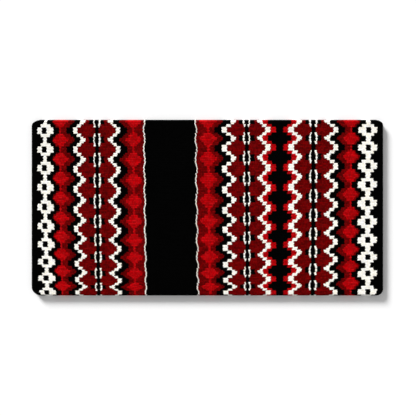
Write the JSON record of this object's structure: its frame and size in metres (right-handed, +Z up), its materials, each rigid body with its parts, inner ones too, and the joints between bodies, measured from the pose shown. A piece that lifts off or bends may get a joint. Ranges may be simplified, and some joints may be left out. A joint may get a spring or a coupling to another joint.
{
  "type": "saddle blanket",
  "caption": "Square woven wool saddle blanket folded in half along the horse's spine, with figured stripes, bound hems and corded selvedges.",
  "frame": {"origin": "centre of the folded blanket's footprint, on the surface it lies on", "axes": "+X along the spine fold towards the rear end, +Y across the cloth towards the spine fold, +Z up, from the off-side leaf to the near-side leaf on top"},
  "size_m": [0.9144, 0.4572, 0.0165],
  "materials": {
    "chain_weft": "matt cream wool weft with black figure yarn",
    "cherry_weft": "matt cherry red wool weft with darker red and black figure yarn",
    "medallion_weft": "matt dark red wool weft with cream and black figure yarn",
    "wave_weft": "matt cream wool weft",
    "seat_weft": "matt black wool weft",
    "stepped_weft": "matt cherry red and black wool weft",
    "back_weft": "matt wool floats of all colours",
    "warp_cord": "hard twisted dark wool cord",
    "hem_binding": "black wool, warp ends worked back into the cloth",
    "selvedge_cord": "black plied edge cord wrapped by the weft"
  },
  "bodies": {
    "off_side_leaf": {"off_front_chain_band": "chain_weft", "off_front_diamond_band": "cherry_weft", "off_front_medallion_band": "medallion_weft", "off_front_seat_diamond_band": "cherry_weft", "off_front_wave_band": "wave_weft", "off_seat_band": "seat_weft", "off_rear_wave_band": "wave_weft", "off_rear_seat_diamond_band": "cherry_weft", "off_rear_medallion_band": "medallion_weft", "off_stepped_cherry_band": "stepped_weft", "off_croup_medallion_band": "medallion_weft", "off_rear_diamond_band": "cherry_weft", "off_rear_chain_band": "chain_weft", "off_warp_cord": "warp_cord", "off_back_weft": "back_weft", "off_front_hem": "hem_binding", "off_rear_hem": "hem_binding", "off_selvedge": "selvedge_cord"},
    "spine_fold": {"fold_front_chain_band": "chain_weft", "fold_front_diamond_band": "cherry_weft", "fold_front_medallion_band": "medallion_weft", "fold_front_seat_diamond_band": "cherry_weft", "fold_front_wave_band": "wave_weft", "fold_seat_band": "seat_weft", "fold_rear_wave_band": "wave_weft", "fold_rear_seat_diamond_band": "cherry_weft", "fold_rear_medallion_band": "medallion_weft", "fold_stepped_cherry_band": "stepped_weft", "fold_croup_medallion_band": "medallion_weft", "fold_rear_diamond_band": "cherry_weft", "fold_rear_chain_band": "chain_weft", "fold_front_hem": "hem_binding", "fold_rear_hem": "hem_binding"},
    "near_side_leaf": {"near_front_chain_band": "chain_weft", "near_front_diamond_band": "cherry_weft", "near_front_medallion_band": "medallion_weft", "near_front_seat_diamond_band": "cherry_weft", "near_front_wave_band": "wave_weft", "near_seat_band": "seat_weft", "near_rear_wave_band": "wave_weft", "near_rear_seat_diamond_band": "cherry_weft", "near_rear_medallion_band": "medallion_weft", "near_stepped_cherry_band": "stepped_weft", "near_croup_medallion_band": "medallion_weft", "near_rear_diamond_band": "cherry_weft", "near_rear_chain_band": "chain_weft", "near_warp_cord": "warp_cord", "near_back_weft": "back_weft", "near_front_hem": "hem_binding", "near_rear_hem": "hem_binding", "near_selvedge": "selvedge_cord"}
  },
  "joints": [
    {"name": "spine_lower", "type": "hinge", "parent": "off_side_leaf", "child": "spine_fold", "pos_m": [0, 0.22278, 0.004], "axis": [-1, 0, 0], "range_deg": [0, 90], "deforming": ["fold_front_chain_band", "fold_front_diamond_band", "fold_front_medallion_band", "fold_front_seat_diamond_band", "fold_front_wave_band", "fold_seat_band", "fold_rear_wave_band", "fold_rear_seat_diamond_band", "fold_rear_medallion_band", "fold_stepped_cherry_band", "fold_croup_medallion_band", "fold_rear_diamond_band", "fold_rear_chain_band", "fold_front_hem", "fold_rear_hem"]},
    {"name": "spine_upper", "type": "hinge", "parent": "spine_fold", "child": "near_side_leaf", "pos_m": [0, 0.22278, 0.0125], "axis": [-1, 0, 0], "range_deg": [0, 90]}
  ]
}
